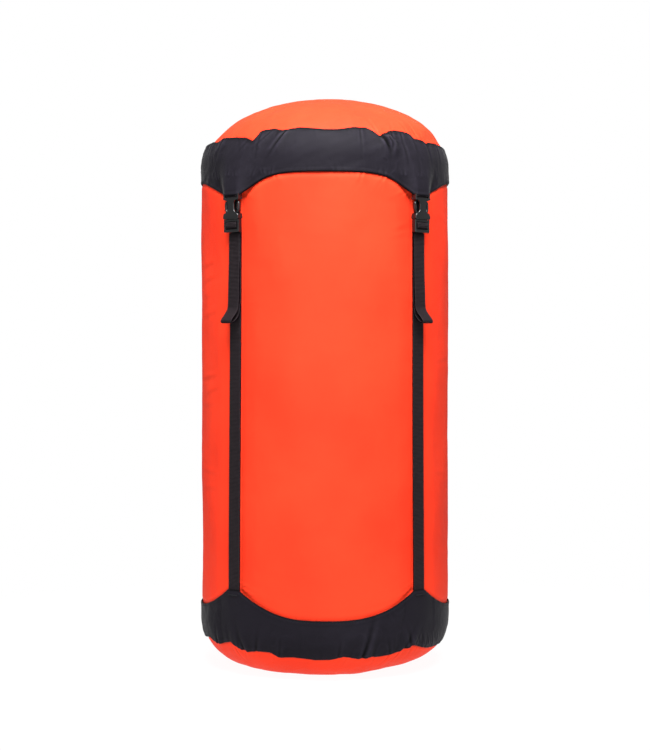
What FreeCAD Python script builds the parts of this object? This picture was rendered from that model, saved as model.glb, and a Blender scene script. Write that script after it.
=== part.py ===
import FreeCAD, Part
import math
import os

# Compression sack, filled and standing upright. Millimetres, +Z up, the front faces -Y,
# and the origin is at the middle of the flat foot.
# Radial means away from the sack's upright axis. Buckles and straps are drawn on the +X side,
# with X radial, Y across the webbing and Z up, and are then turned to their bearing.

# ---------------------------------------------------------------- driving dimensions

BODY_R = 122.5            # outside of the body fabric
FOOT_R = 75.0             # flat round foot
BASE_RISE = 45.0          # height over which the base rounds up into the body
LID_Z = 490.0             # height at which the lid starts to dome
LID_RISE = 68.0           # height of the dome
POLE_R = 3.0              # small flat at the very top of the dome
WALL = 1.0                # thickness that stands for one fabric layer
CLEARANCE = 0.4           # gap between parts that slide past each other

WEB_W = 15.0              # webbing
WEB_T = 1.2
BUCKLE_W = 19.4
BUCKLE_T = 5.6

TUBE_SPLIT = 275.0        # top edge of the lower half of the body tube
TUBE_OVERLAP = 20.0       # how far the upper half reaches into it

# Bearings of the four straps, in degrees anticlockwise from +X, seen from above.
BEARINGS = {
    "front_left": -133.0,
    "front_right": -44.8,
    "rear_left": 135.0,
    "rear_right": 45.0,
}

# ---------------------------------------------------------------- worked-out heights and radii

BASE_SEAM = BASE_RISE - 5.0
BASE_YOKE_LOW = 23.0
BASE_YOKE_ARCH = 59.0     # edge between two straps
BASE_YOKE_TIP = 83.0      # edge at a strap
LID_YOKE_HIGH = 514.0
LID_YOKE_ARCH = 475.0
LID_YOKE_TIP = 455.0
LID_SEAM = LID_Z + 10.0
YOKE_GAP = 0.1
YOKE_T = 0.8
ARCH_TOP_HALF = 42.0      # half width of the flat middle of a scallop
ARCH_FOOT_HALF = 79.0     # half width of a scallop where it meets the strap points
ARCH_ROUND_OUT = 0.62     # a point on the rounded corner of a scallop: how far out from its flat middle,
ARCH_ROUND_UP = 0.3       # and how far towards the points of the yoke, each as a part of the whole

UPPER_R = BODY_R - WALL - CLEARANCE
COLLAR_Z = LID_Z - 2.0
COLLAR_RISE = 30.0
NECK_R = 15.0
NECK_TOP = 528.0
HEM_TUBE_R = 3.4
HEM_WALL = 1.0
EYELET_R = 3.0
EYELET_HOLE_R = 1.8
EYELET_BARREL_WALL = 0.35
EYELET_FLANGE_T = 0.8
EYELET_FIT = 0.4          # the hem's hole is this much wider than the eyelet's own, at the radius

STRAP_GAP = 0.3           # between the body fabric and the strap
LAYER_GAP = 0.6           # between the strap and the layer of it that runs in front
STRAP_R = BODY_R + STRAP_GAP + WEB_T / 2  # middle of the main strap's thickness
TAIL_R = STRAP_R + WEB_T + LAYER_GAP      # middle of the strap layer in front of it
BUCKLE_MID_R = 127.4                      # middle of the buckle's thickness
TACK_T = 0.8
TACK_H = 3.0
TACK_DROP = 6.0           # lower edge of a bar tack below the yoke's tip
TACK_INSET = 1.0          # the tack is this much narrower than the webbing on each side

LOCK_Z = 421.0            # lowest edge of the ladder lock
END_BAR_H = 3.0
SLOT_H = 2.4
MID_BAR_H = 3.0
TOP_BAR_H = 1.2
LOCK_T = 4.4
RAIL_W = 1.7
INNER_T = 2.6             # thickness of what slides into the socket
FIT_GAP = 0.3
MID_BAR_T = 2.4
TONGUE_HALF = 2.4
TONGUE_LENGTH = 11.0

MID_BAR_Z = LOCK_Z + END_BAR_H + SLOT_H
LOCK_TOP = MID_BAR_Z + MID_BAR_H + SLOT_H + TOP_BAR_H
SOCKET_Z = LOCK_TOP + FIT_GAP
SOCKET_TOP = 457.4
SOCKET_BAR_H = 2.2
SOCKET_WALL = 1.7
SOCKET_BAR_T = 3.4
WINDOW_DEPTH = 5.0        # how far a side window reaches into the socket
WINDOW_ROUND = 3.6
WINDOW_LOW = 6.6          # from the socket's lower edge to a window
WINDOW_HIGH = 6.0         # from a window to the socket's upper edge
THROAT_HIGH = 6.8         # from the end of the throat to the socket's upper edge
ROOT_TOP = SOCKET_Z + 3.8
PRONG_LENGTH = 13.0
TAIL_TOP = LOCK_Z - 1.4
TAIL_FLARE_Z = 354.5      # where the tail starts to bend outwards
TAIL_FLARE_R = 19.0
TAIL_FLARE_DEG = 60.0
TAB_LENGTH = 12.0         # folded and sewn end of the tail
TAB_LAYERS = 2.6          # thickness of the tab, in thicknesses of webbing

LOOP_T = 0.8              # anchor loop
LOOP_GAP = 1.0            # between the loop's line and the socket's bar
LOOP_OUT = 2.5            # from the middle of the bar to the loop's line, in front and behind
LOOP_TAIL = 12.0          # how far the loop reaches up under the yoke
OVERSHOOT = 1.0           # how far a cutting block reaches past what it cuts
BIG = 400.0


# ---------------------------------------------------------------- helpers

def vec(x, y, z):
    return FreeCAD.Vector(x, y, z)


def box(x0, x1, y0, y1, z0, z1):
    return Part.makeBox(x1 - x0, y1 - y0, z1 - z0, vec(x0, y0, z0))


def turned(shape, degrees):
    copy = shape.copy()
    copy.rotate(vec(0, 0, 0), vec(0, 0, 1), degrees)
    return copy


def save(shape, name):
    shape.exportStep("parts/" + name + ".step")
    print(name, "volume %.1f" % shape.Volume, "valid", shape.isValid(), "solids", len(shape.Solids))


def quarter_ellipse(centre_r, centre_z, radius_r, radius_z, up, stop=0.0):
    """About a quarter of an ellipse in the XZ plane, from its widest point to its top or bottom,
    which it reaches to within stop of the centre."""
    sign = 1 if up else -1
    widest = vec(centre_r + radius_r, 0, centre_z)
    tip = vec(centre_r, 0, centre_z + sign * radius_z)
    centre = vec(centre_r, 0, centre_z)
    if radius_r >= radius_z:
        ellipse = Part.Ellipse(widest, tip, centre)
    else:
        ellipse = Part.Ellipse(tip, widest, centre)
    stop_z = centre_z + sign * radius_z * math.sqrt(1 - (stop / radius_r) ** 2)
    ends = sorted((ellipse.parameter(widest), ellipse.parameter(vec(centre_r + stop, 0, stop_z))))
    if ends[1] - ends[0] > math.pi:
        ends = [ends[1], ends[0] + 2 * math.pi]
    return Part.ArcOfEllipse(ellipse, ends[0], ends[1]).toShape()


def sack_form(grow):
    """The filled sack as one solid of revolution, with its surface moved outwards by grow."""
    side_r = BODY_R + grow
    foot_z = -grow
    dome_rise = LID_RISE + grow
    top_z = LID_Z + dome_rise * math.sqrt(1 - (POLE_R / side_r) ** 2)
    edges = [
        Part.makeLine(vec(0, 0, foot_z), vec(FOOT_R, 0, foot_z)),
        quarter_ellipse(FOOT_R, BASE_RISE, side_r - FOOT_R, BASE_RISE + grow, False),
        Part.makeLine(vec(side_r, 0, BASE_RISE), vec(side_r, 0, LID_Z)),
        quarter_ellipse(0, LID_Z, side_r, dome_rise, True, POLE_R),
        Part.makeLine(vec(POLE_R, 0, top_z), vec(0, 0, top_z)),
        Part.makeLine(vec(0, 0, top_z), vec(0, 0, foot_z)),
    ]
    outline = Part.Wire(Part.__sortEdges__(edges))
    return Part.Face(outline).revolve(vec(0, 0, 0), vec(0, 0, 1), 360)


def skin(outer, inner, low, high):
    """The layer between two grown forms, from one height to another."""
    layer = sack_form(outer).cut(sack_form(inner))
    return layer.common(box(-BIG, BIG, -BIG, BIG, low, high))


def band(path, thickness, width):
    """Flat webbing that follows a path in the XZ plane."""
    outline = path.makeOffset2D(thickness / 2, join=0, fill=False, openResult=False)
    face = Part.Face(outline)
    face.translate(vec(0, -width / 2, 0))
    return face.extrude(vec(0, width, 0))


def straight_path(points):
    return Part.makePolygon([vec(r, 0, z) for r, z in points])


def upright_plate(points, x0, x1):
    """A plate with the given outline in the YZ plane, from one radius to another."""
    corners = [vec(x0, y, z) for y, z in points]
    return Part.Face(Part.makePolygon(corners + corners[:1])).extrude(vec(x1 - x0, 0, 0))


def rounded(shape, radius, along):
    """Rounds the edges that run along one axis."""
    edges = []
    for edge in shape.Edges:
        start, end = edge.Vertexes[0].Point, edge.Vertexes[-1].Point
        step = end.sub(start)
        if step.Length > 1e-6 and abs(step.normalize().dot(along)) > 0.999:
            edges.append(edge)
    return shape.makeFillet(radius, edges)


# ---------------------------------------------------------------- fabric shells

def scallop(flat_z, tip_z):
    """The space between two straps that a yoke leaves open, facing +X."""
    beyond = tip_z + (tip_z - flat_z) * 2
    round_half = ARCH_TOP_HALF + (ARCH_FOOT_HALF - ARCH_TOP_HALF) * ARCH_ROUND_OUT
    shoulder_z = flat_z + (tip_z - flat_z) * ARCH_ROUND_UP

    def at(y, z):
        return vec(0, y, z)

    foot = at(ARCH_FOOT_HALF, tip_z)
    other_foot = at(-ARCH_FOOT_HALF, tip_z)
    edges = [
        Part.makeLine(at(-ARCH_TOP_HALF, flat_z), at(ARCH_TOP_HALF, flat_z)),
        Part.Arc(at(ARCH_TOP_HALF, flat_z), at(round_half, shoulder_z), foot).toShape(),
        Part.makeLine(foot, at(ARCH_FOOT_HALF, beyond)),
        Part.makeLine(at(ARCH_FOOT_HALF, beyond), at(-ARCH_FOOT_HALF, beyond)),
        Part.makeLine(at(-ARCH_FOOT_HALF, beyond), other_foot),
        Part.Arc(other_foot, at(-round_half, shoulder_z), at(-ARCH_TOP_HALF, flat_z)).toShape(),
    ]
    return Part.Face(Part.Wire(edges)).extrude(vec(BIG, 0, 0))


def gap_bearings():
    """The bearing half-way between each strap and the next one round."""
    turns = sorted(BEARINGS.values())
    following = turns[1:] + [turns[0] + 360.0]
    return [(a + b) / 2 for a, b in zip(turns, following)]


def yoke(low, high, flat_z, tip_z):
    band_skin = skin(YOKE_GAP + YOKE_T, YOKE_GAP, low, high)
    for bearing in gap_bearings():
        band_skin = band_skin.cut(turned(scallop(flat_z, tip_z), bearing))
    return band_skin


def tube_upper():
    height = COLLAR_Z - TUBE_SPLIT + TUBE_OVERLAP
    place = vec(0, 0, TUBE_SPLIT - TUBE_OVERLAP)
    outer = Part.makeCylinder(UPPER_R, height, place)
    return outer.cut(Part.makeCylinder(UPPER_R - WALL, height, place))


def collar_form(shrink):
    """The space under the gathered mouth: a low dome with a narrow neck."""
    edges = [
        quarter_ellipse(0, COLLAR_Z, UPPER_R - shrink, COLLAR_RISE - shrink, True),
        Part.makeLine(vec(0, 0, COLLAR_Z + COLLAR_RISE - shrink), vec(0, 0, COLLAR_Z)),
        Part.makeLine(vec(0, 0, COLLAR_Z), vec(UPPER_R - shrink, 0, COLLAR_Z)),
    ]
    dome = Part.Face(Part.Wire(Part.__sortEdges__(edges))).revolve(vec(0, 0, 0), vec(0, 0, 1), 360)
    neck = Part.makeCylinder(NECK_R - shrink, NECK_TOP - COLLAR_Z, vec(0, 0, COLLAR_Z))
    return dome.fuse(neck)


def mouth_collar():
    return collar_form(0).cut(collar_form(WALL)).removeSplitter()


def hem_ring(tube_r):
    return Part.makeTorus(NECK_R + HEM_TUBE_R, tube_r, vec(0, 0, NECK_TOP - HEM_TUBE_R))


def eyelet_cylinder(radius, start_r, end_r):
    """A short cylinder that points to the front, at the middle height of the hem."""
    place = vec(0, -start_r, NECK_TOP - HEM_TUBE_R)
    return Part.makeCylinder(radius, end_r - start_r, place, vec(0, -1, 0))


def hem_outer_r():
    return NECK_R + 2 * HEM_TUBE_R


def mouth_hem():
    channel = hem_ring(HEM_TUBE_R).cut(hem_ring(HEM_TUBE_R - HEM_WALL))
    hole = eyelet_cylinder(EYELET_HOLE_R + EYELET_FIT, NECK_R + HEM_TUBE_R, hem_outer_r() + OVERSHOOT)
    return channel.cut(hole)


def mouth_eyelet():
    face_r = hem_outer_r()
    flange_r = face_r + YOKE_GAP
    flange = eyelet_cylinder(EYELET_R, flange_r, flange_r + EYELET_FLANGE_T)
    barrel_r = EYELET_HOLE_R + EYELET_BARREL_WALL
    barrel = eyelet_cylinder(barrel_r, face_r - HEM_WALL, flange_r + EYELET_FLANGE_T / 2)
    hole = eyelet_cylinder(EYELET_HOLE_R, face_r - HEM_TUBE_R, face_r + HEM_TUBE_R)
    return flange.fuse(barrel).cut(hole).removeSplitter()


# ---------------------------------------------------------------- straps

def main_strap():
    """The run from the tip of the base yoke up to the back of the ladder lock."""
    half = WEB_T / 2
    half_w = WEB_W / 2
    return box(STRAP_R - half, STRAP_R + half, -half_w, half_w, BASE_YOKE_TIP + FIT_GAP, MID_BAR_Z - half)


def bar_tack():
    """The dense row of stitches that holds the strap's lower end."""
    inner = BODY_R + YOKE_GAP + YOKE_T
    half_w = WEB_W / 2 - TACK_INSET
    low = BASE_YOKE_TIP - TACK_DROP
    tack = box(inner, inner + TACK_T, -half_w, half_w, low, low + TACK_H)
    return rounded(tack, TACK_H / 5, vec(1, 0, 0))


def strap_wrap():
    """Up behind the middle bar, over it, back in through the lower slot and out behind the end bar."""
    front_r = BUCKLE_MID_R + MID_BAR_T / 2 + LAYER_GAP + 0.2
    over_z = MID_BAR_Z + MID_BAR_H + 1.0
    under_z = MID_BAR_Z - 1.3
    points = [
        (STRAP_R, MID_BAR_Z),
        (TAIL_R, MID_BAR_Z + 1.6),
        (TAIL_R, over_z),
        (front_r, over_z),
        (front_r, under_z),
        (TAIL_R, under_z),
        (TAIL_R, LOCK_Z + 0.2),
    ]
    return band(straight_path(points), WEB_T, WEB_W)


def tail_path(start_deg):
    """The tail's line: straight down and then a bend outwards, or only the end of the bend."""
    def on_bend(degrees):
        turn = math.radians(degrees)
        out = TAIL_R + TAIL_FLARE_R * (1 - math.cos(turn))
        return vec(out, 0, TAIL_FLARE_Z - TAIL_FLARE_R * math.sin(turn))

    middle = (start_deg + TAIL_FLARE_DEG) / 2
    edges = [Part.Arc(on_bend(start_deg), on_bend(middle), on_bend(TAIL_FLARE_DEG)).toShape()]
    if start_deg == 0:
        edges.insert(0, Part.makeLine(vec(TAIL_R, 0, TAIL_TOP), on_bend(0)))
    return Part.Wire(edges)


def strap_tail():
    """The free end, whose last part is folded back and sewn into a pull tab."""
    tab_start = TAIL_FLARE_DEG - math.degrees(TAB_LENGTH / TAIL_FLARE_R)
    tail = band(tail_path(0), WEB_T, WEB_W)
    tab = band(tail_path(tab_start), TAB_LAYERS * WEB_T, WEB_W)
    return tail.fuse(tab).removeSplitter()


# ---------------------------------------------------------------- buckles

def lock_plate(half_w, z0, z1, thickness):
    mid = BUCKLE_MID_R
    return box(mid - thickness / 2, mid + thickness / 2, -half_w, half_w, z0, z1)


def buckle_plug():
    """The strap's half of a buckle: a ladder lock, and a root with a guide tongue."""
    half_w = BUCKLE_W / 2 - 0.1
    inside = half_w - RAIL_W
    joined = 0.2              # how far two pieces of the plug reach into each other
    back = BUCKLE_MID_R - LOCK_T / 2
    frame = rounded(lock_plate(half_w, LOCK_Z, LOCK_TOP, LOCK_T), 1.4, vec(1, 0, 0))
    window = lock_plate(inside, LOCK_Z + END_BAR_H, LOCK_TOP - TOP_BAR_H, LOCK_T + OVERSHOOT)
    way_top = LOCK_TOP - TOP_BAR_H
    strap_way = box(back - OVERSHOOT, back + WEB_T - 0.1, -inside, inside, LOCK_Z - OVERSHOOT, way_top)
    mid_bar = rounded(lock_plate(inside, MID_BAR_Z, MID_BAR_Z + MID_BAR_H, MID_BAR_T), 0.8, vec(0, 1, 0))
    root = lock_plate(BUCKLE_W / 2 - SOCKET_WALL - FIT_GAP, LOCK_TOP - joined, ROOT_TOP, INNER_T)
    tongue = lock_plate(TONGUE_HALF, ROOT_TOP - joined, ROOT_TOP + TONGUE_LENGTH, INNER_T)
    tongue = rounded(tongue, 1.0, vec(1, 0, 0))
    plug = frame.cut(window).cut(strap_way)
    for piece in (mid_bar, root, tongue):
        plug = plug.fuse(piece)
    return plug.removeSplitter()


def prong(side):
    """One of the two sprung arms. side is +1 or -1 across the webbing."""
    low = ROOT_TOP + 0.2
    outline = [
        (4.6, low),
        (7.2, low),
        (7.4, low + 3.2),
        (8.7, low + 5.0),
        (9.0, low + 8.0),
        (8.7, low + 11.0),
        (7.0, low + PRONG_LENGTH),
        (6.0, low + PRONG_LENGTH - 0.6),
        (6.3, low + 8.0),
        (5.2, low + 4.0),
    ]
    points = [(side * y, z) for y, z in outline]
    half = INNER_T / 2
    return upright_plate(points, BUCKLE_MID_R - half, BUCKLE_MID_R + half)


def buckle_socket():
    """The lid's half of a buckle: a flat sleeve with a round-cornered window in each side."""
    half_w = BUCKLE_W / 2
    shell = rounded(lock_plate(half_w, SOCKET_Z, SOCKET_TOP, BUCKLE_T), 1.3, vec(1, 0, 0))
    throat_half = half_w - SOCKET_WALL
    throat = lock_plate(throat_half, SOCKET_Z - OVERSHOOT, SOCKET_TOP - THROAT_HIGH, INNER_T + 2 * FIT_GAP)
    slot_top = SOCKET_TOP - SOCKET_BAR_H
    slot = lock_plate(throat_half, slot_top - SLOT_H, slot_top, BUCKLE_T + OVERSHOOT)
    socket = shell.cut(throat).cut(slot)
    for side in (-1, 1):
        y0, y1 = sorted((side * (half_w - WINDOW_DEPTH), side * (half_w + WINDOW_DEPTH)))
        window = box(BUCKLE_MID_R - BUCKLE_T, BUCKLE_MID_R + BUCKLE_T, y0, y1,
                     SOCKET_Z + WINDOW_LOW, SOCKET_TOP - WINDOW_HIGH)
        socket = socket.cut(rounded(window, WINDOW_ROUND, vec(1, 0, 0)))
        r0, r1 = sorted((BUCKLE_MID_R + side * SOCKET_BAR_T / 2, BUCKLE_MID_R + side * BUCKLE_T))
        recess = box(r0, r1, -throat_half, throat_half, slot_top - OVERSHOOT, SOCKET_TOP + OVERSHOOT)
        socket = socket.cut(recess)
    return socket


def anchor_loop():
    """The short loop that holds a socket by its bar, under a point of the lid yoke."""
    under_z = SOCKET_TOP - SOCKET_BAR_H - LOOP_GAP
    over_z = SOCKET_TOP + LOOP_GAP
    back_r = BUCKLE_MID_R - LOOP_OUT
    front_r = BUCKLE_MID_R + LOOP_OUT
    yoke_r = BODY_R + YOKE_GAP + YOKE_T
    points = [
        (yoke_r + LOOP_T * 0.9, over_z + LOOP_TAIL),
        (back_r, over_z),
        (back_r, under_z),
        (front_r, under_z),
        (front_r, over_z),
        (yoke_r + LOOP_T * 2.3, over_z + LOOP_TAIL + LOOP_T / 2),
    ]
    return band(straight_path(points), LOOP_T, WEB_W)


# ---------------------------------------------------------------- the parts

save(skin(0, -WALL, -1, BASE_SEAM), "base_panel")
save(skin(0, -WALL, BASE_SEAM + 0.1, TUBE_SPLIT), "tube_lower")
save(yoke(BASE_YOKE_LOW, BASE_YOKE_TIP, BASE_YOKE_ARCH, BASE_YOKE_TIP), "base_yoke")
save(tube_upper(), "tube_upper")
save(mouth_collar(), "mouth_collar")
save(mouth_hem(), "mouth_hem")
save(mouth_eyelet(), "mouth_eyelet")
save(skin(0, -WALL, LID_SEAM, LID_Z + LID_RISE + 1), "lid_panel")
save(yoke(LID_YOKE_TIP, LID_YOKE_HIGH, LID_YOKE_ARCH, LID_YOKE_TIP), "lid_yoke")

save(Part.makeCompound([turned(bar_tack(), bearing) for bearing in BEARINGS.values()]), "bar_tacks")
for corner, bearing in BEARINGS.items():
    save(turned(main_strap(), bearing), "strap_" + corner)
    save(turned(anchor_loop(), bearing), "anchor_loop_" + corner)
    save(turned(buckle_socket(), bearing), "buckle_socket_" + corner)
    save(turned(buckle_plug(), bearing), "buckle_plug_" + corner)
    save(turned(prong(1), bearing), "prong_a_" + corner)
    save(turned(prong(-1), bearing), "prong_b_" + corner)
    save(turned(strap_wrap(), bearing), "strap_wrap_" + corner)
    save(turned(strap_tail(), bearing), "strap_tail_" + corner)
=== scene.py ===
import math

import bmesh
import bpy
import numpy as np
from mathutils import Matrix, Vector


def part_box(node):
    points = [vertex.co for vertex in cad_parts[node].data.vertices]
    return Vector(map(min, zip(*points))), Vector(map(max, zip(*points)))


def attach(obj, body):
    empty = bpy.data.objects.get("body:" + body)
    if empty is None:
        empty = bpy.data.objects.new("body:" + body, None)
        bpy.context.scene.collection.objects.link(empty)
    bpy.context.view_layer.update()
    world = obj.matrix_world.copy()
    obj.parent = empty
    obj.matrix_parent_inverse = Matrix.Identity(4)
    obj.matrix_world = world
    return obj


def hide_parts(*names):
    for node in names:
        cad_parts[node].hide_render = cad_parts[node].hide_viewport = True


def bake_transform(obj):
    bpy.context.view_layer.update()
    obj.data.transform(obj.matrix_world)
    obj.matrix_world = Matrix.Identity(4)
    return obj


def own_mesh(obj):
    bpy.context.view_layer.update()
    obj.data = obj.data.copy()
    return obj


# A filled compression sack: orange fabric, charcoal yokes, webbing straps and side release buckles.
# Metres, unless a comment says millimetres. Bearings are angles anticlockwise from +X, seen from above;
# the front faces -Y.

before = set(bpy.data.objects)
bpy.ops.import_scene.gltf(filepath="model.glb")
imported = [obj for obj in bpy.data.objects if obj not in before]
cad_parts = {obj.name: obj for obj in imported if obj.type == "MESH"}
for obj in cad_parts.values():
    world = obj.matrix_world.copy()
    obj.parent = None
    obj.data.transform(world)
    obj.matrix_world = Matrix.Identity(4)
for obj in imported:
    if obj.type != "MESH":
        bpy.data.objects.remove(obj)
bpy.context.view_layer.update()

MM = 0.001
CORNERS = ("front_left", "front_right", "rear_left", "rear_right")

# ---- sizes, from the frame where it has them

BODY_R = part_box("tube_lower")[1].x
FOOT_R = 75 * MM
BASE_RISE = 45 * MM
LID_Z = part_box("tube_upper")[1].z + 2 * MM
LID_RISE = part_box("lid_panel")[1].z - LID_Z
BASE_YOKE_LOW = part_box("base_yoke")[0].z + 2 * MM
BASE_YOKE_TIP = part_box("base_yoke")[1].z
BASE_YOKE_ARCH = 58.6 * MM
LID_YOKE_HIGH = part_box("lid_yoke")[1].z
LID_YOKE_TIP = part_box("lid_yoke")[0].z
LID_YOKE_ARCH = 475 * MM
LID_ARCH_HALF = 79 * MM       # half width of a scallop at its foot, seen square on
BASE_ARCH_HALF = 82 * MM
YOKE_LIFT = 1.0 * MM          # how far the base yoke stands off the fabric under it
LID_YOKE_LIFT = 0.6 * MM
CLOTH_T = 0.4 * MM
FOLD_DEPTH = 1.0 * MM         # a fold this deep gets the darkest painted shade in the fabric's colour
EDGE_SHADE = 2.8 * MM         # painted shade: a panel's colour is darkened this close to its edge

HEM_W = 3.2 * MM              # the doubled fabric along a yoke's edge
STITCH_INSET = 2.2 * MM       # a yoke's stitches lie this far inside its edge
BACK_SEAM_HALF = 2.3 * MM     # from the middle of the back seam to each of its rows of stitches
SIDE_FOLD_W = 3.0 * MM
TUBE_GRID = (760, 230)        # a mesh's columns round the sack, and its rows
YOKE_GRID = (1100, 84)
DOME_GRID = (720, 140)
BASE_GRID = (720, 110)
STITCH_LIFT = 0.12 * MM       # how far a row of stitches stands off the fabric
CREASE_GAIN = 1.7             # the creases of a yoke are this much deeper than their tables say
GATHER_GAIN = 1.6             # and the lid yoke's gathers this much deeper

WEB_W = 15 * MM
WEB_T = 1.2 * MM
STRAP_R = BODY_R + 0.9 * MM
TAIL_R = STRAP_R + WEB_T + 0.6 * MM
BUCKLE_MID_R = 127.4 * MM
LOCK_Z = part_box("buckle_plug_front_left")[0].z
SOCKET_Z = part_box("buckle_socket_front_left")[0].z
SOCKET_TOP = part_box("buckle_socket_front_left")[1].z
PRONG_UP = 3.9 * MM           # a prong's foot stands this far above the socket's
SHARP_ANGLE = math.radians(35)
WHITE = (1, 1, 1, 1)
DOME_LEAN = 3.5 * MM          # the top of the dome lies this far to the right
BASE_LIFT = 2.6 * MM          # the base's right side stands this far off the floor

# How far each strap's lower end lies to one side of its buckle, anticlockwise.
STRAP_LEAN = dict(zip(CORNERS, (-2.6 * MM, 2.3 * MM, 1.5 * MM, -1.0 * MM)))


def bearing_of(corner):
    low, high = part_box("strap_" + corner)
    middle = (low + high) / 2
    return math.atan2(middle.y, middle.x)


BEARINGS = {corner: bearing_of(corner) for corner in CORNERS}
LOW_BEARINGS = {corner: BEARINGS[corner] + STRAP_LEAN[corner] / BODY_R for corner in CORNERS}


# ---- the outline of the filled sack

def lengths_along(line):
    """How far along a line each of its points lies."""
    return np.concatenate([[0], np.cumsum(np.linalg.norm(np.diff(line, axis=0), axis=1))])


def along_line(line, at):
    """The points of a line at some distances along it."""
    lengths = lengths_along(line)
    return np.column_stack([np.interp(at, lengths, values) for values in line.T])


def make_outline():
    """(radius, height) up the outline, from the middle of the foot to the top of the lid, with arc lengths
    and normals."""
    turn = np.linspace(0, math.pi / 2, 181)
    foot = np.column_stack([np.linspace(0, FOOT_R, 60)[:-1], np.zeros(59)])
    base = np.column_stack([
        FOOT_R + (BODY_R - FOOT_R) * np.sin(turn),
        BASE_RISE * (1 - np.cos(turn)),
    ])
    side_z = np.linspace(BASE_RISE, LID_Z, 400)[1:-1]
    side = np.column_stack([np.full(len(side_z), BODY_R), side_z])
    dome = np.column_stack([BODY_R * np.cos(turn), LID_Z + LID_RISE * np.sin(turn)])
    points = np.vstack([foot, base, side, dome])
    along = lengths_along(points)
    tangent = np.gradient(points, along, axis=0)
    tangent /= np.linalg.norm(tangent, axis=1)[:, None]
    normal = np.column_stack([tangent[:, 1], -tangent[:, 0]])
    return points, along, normal


OUTLINE, ALONG, NORMAL = make_outline()
TOP_S = ALONG[-1]
_rising = OUTLINE[:, 1] > 1e-7


def s_of_height(z):
    """Arc length up the outline at a height, off the flat foot."""
    return np.interp(z, OUTLINE[_rising, 1], ALONG[_rising])


def on_outline(s):
    """The radius, the height and the outward direction, as (radial, upward), at an arc length."""
    return [np.interp(s, ALONG, values) for values in (*OUTLINE.T, *NORMAL.T)]


def round_axis(radius, phi, height):
    """Points at a radius, a bearing and a height."""
    return np.stack(np.broadcast_arrays(radius * np.cos(phi), radius * np.sin(phi), height), axis=-1)


def wrapped(angle):
    return (angle + math.pi) % (2 * math.pi) - math.pi


def from_front(phi):
    """Degrees round from the middle of the front, positive to the right, from -180 to 180."""
    return np.degrees(wrapped(phi + math.pi / 2))


def smooth(x):
    x = np.clip(x, 0, 1)
    return x * x * (3 - 2 * x)


def ramp(x, start, reach):
    """0 up to start, then rising smoothly to 1 over reach, both in millimetres."""
    return smooth((x - start * MM) / (reach * MM))


def bell(x, width):
    """1 at x = 0, falling away over width millimetres to either side."""
    return np.exp(-(x / (width * MM)) ** 2)


# ---- relief of the fabric

def soft_noise(phi, s, seed, width, stretch=1.0, waves=14):
    """Smooth random relief of about +-1, the same all the way round. width is a swell's width in metres."""
    rng = np.random.default_rng(seed)
    total = np.zeros(np.broadcast(phi, s).shape)
    per_turn = 2 * math.pi * BODY_R / width
    for _ in range(waves):
        count = int(round(abs(rng.normal(0, per_turn))))
        rate = rng.normal(0, 2 * math.pi / (width * stretch))
        total += np.cos(count * phi + rate * s + rng.uniform(0, 2 * math.pi))
    return total / math.sqrt(waves / 2)


def crumple(phi, s, seed, width):
    """Crisp random creases, from 0 to about 1: the ridges between smooth hollows."""
    one = soft_noise(phi, s, seed, width, 1.2)
    two = soft_noise(phi, s, seed + 1000, width * 0.55, 0.9)
    return np.exp(-np.abs(one) * 3.2) * 0.75 + np.exp(-np.abs(two) * 3.2) * 0.25


def crease(phi, s, bearing, root, length, width, depth, slant=0.0, bow=0.0):
    """One fold in the fabric: a valley between two ridges, which widens and fades along its length.
    It starts at arc length root, and runs up for a positive length and down for a negative one.
    slant leans it, and bow (per metre) curves it. Nothing in it lies below the fabric round it."""
    run = (s - root) / length
    across = wrapped(phi - bearing) * BODY_R - slant * (s - root) - bow * (s - root) ** 2
    opening = 1 + 0.8 * np.clip(run, 0, 1)
    x = across / (width * opening)
    ridge = np.exp(-((x - 0.35) / 2.6) ** 2)
    shape = 1.5 * ridge - 1.45 * np.exp(-x * x)
    fade = np.where(run < 0, smooth(1 + run * 3), (1 - np.clip(run, 0, 1)) ** 1.4)
    return depth * np.maximum(shape, 0) * fade


def cross_crease(phi, s, bearing, root, half_length, width, depth, tilt):
    """A fold that runs round the sack for half_length to either side of a bearing, and climbs by tilt."""
    across = wrapped(phi - bearing) * BODY_R
    off = (s - root - tilt * across) / width
    fade = 1 - smooth(np.abs(across) / half_length)
    return depth * fade * (np.exp(-((off - 1.0) / 1.3) ** 2) - np.exp(-off * off))


def random_creases(seed, count, root, start, length, width, depth):
    """Creases spread unevenly round the sack. start is above the root; it, length, width and depth are
    (lowest, highest) in millimetres."""
    rng = np.random.default_rng(seed)
    return [{
        "bearing": 2 * math.pi * (step + rng.uniform(0.1, 0.9)) / count,
        "root": root + rng.uniform(*start) * MM,
        "length": rng.uniform(*length) * MM,
        "width": rng.uniform(*width) * MM,
        "depth": rng.uniform(*depth) * MM,
        "slant": rng.normal(0, 0.18),
    } for step in range(count)]


def creased(phi, s, creases):
    total = np.zeros(np.broadcast(phi, s).shape)
    for one in creases:
        total += crease(phi, s, **one)
    return total


def strap_distance(phi, s):
    """Metres round the body from the nearest strap's middle. Each strap leans a little on its way up."""
    nearest = np.full(np.broadcast(phi, s).shape, 1.0)
    height = on_outline(s)[1]
    up = np.clip((height - BASE_YOKE_TIP) / (LOCK_Z - BASE_YOKE_TIP), 0, 1)
    for corner in CORNERS:
        bearing = LOW_BEARINGS[corner] + (BEARINGS[corner] - LOW_BEARINGS[corner]) * up
        nearest = np.minimum(nearest, np.abs(wrapped(phi - bearing)) * BODY_R)
    return nearest


def soft_max(a, b, width):
    """The larger of two reliefs, with a round corner where they cross."""
    return (a + b + np.hypot(a - b, width)) / 2


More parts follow.
